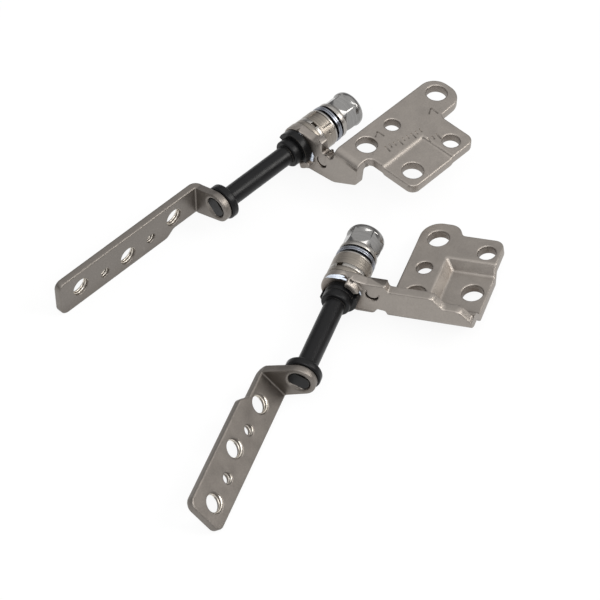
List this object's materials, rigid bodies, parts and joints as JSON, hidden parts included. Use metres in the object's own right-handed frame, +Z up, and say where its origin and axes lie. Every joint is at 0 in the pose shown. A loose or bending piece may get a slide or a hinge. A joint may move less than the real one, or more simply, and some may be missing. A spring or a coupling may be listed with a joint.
{
  "type": "laptop hinge pair",
  "caption": "Left and right friction hinges for a folding screen: flanged base bracket, shaft with stop disc, washer stack and lock nut, and a drilled strip bracket that swings.",
  "frame": {"origin": "centre of the bounding box of both hinges as they lie, on the surface they lie on", "axes": "+X along the shaft of the left hinge from its strip bracket to its nut, +Z up from the surface, +Y to the side of the left hinge's strip"},
  "size_m": [0.094, 0.0552, 0.0101],
  "materials": {
    "satin_nickel": "satin nickel-plated sheet, faint scuffs",
    "black_oxide": "oiled black oxide",
    "washer_steel": "turned steel, oiled",
    "bright_steel": "bright ground steel",
    "spring_steel": "blued spring steel with bright rims",
    "nut_steel": "nickel-plated, polished bevels"
  },
  "bodies": {
    "bases": {"left_base_bracket": "satin_nickel", "left_backing_washer": "washer_steel", "right_base_bracket": "satin_nickel", "right_backing_washer": "washer_steel"},
    "left_screen_side": {"left_display_bracket": "satin_nickel", "left_shaft": "black_oxide", "left_stop_disc": "black_oxide", "left_notched_ring": "bright_steel", "left_stepped_washer": "washer_steel", "left_thin_washer": "bright_steel", "left_spring_washer_1": "spring_steel", "left_spring_washer_2": "spring_steel", "left_pressure_washer": "bright_steel", "left_lock_nut": "nut_steel"},
    "right_screen_side": {"right_display_bracket": "satin_nickel", "right_shaft": "black_oxide", "right_stop_disc": "black_oxide", "right_notched_ring": "bright_steel", "right_stepped_washer": "washer_steel", "right_thin_washer": "bright_steel", "right_spring_washer_1": "spring_steel", "right_spring_washer_2": "spring_steel", "right_pressure_washer": "bright_steel", "right_lock_nut": "nut_steel"}
  },
  "joints": [
    {"name": "left_lid", "type": "hinge", "parent": "bases", "child": "left_screen_side", "pos_m": [0.0212, 0.02152, 0.00562], "axis": [1, 0, 0], "range_deg": [-128, 2]},
    {"name": "right_lid", "type": "hinge", "parent": "bases", "child": "right_screen_side", "pos_m": [0.00155, -0.00696, 0.0053], "axis": [-0.915, -0.4035, 0], "range_deg": [-119, 11]}
  ]
}
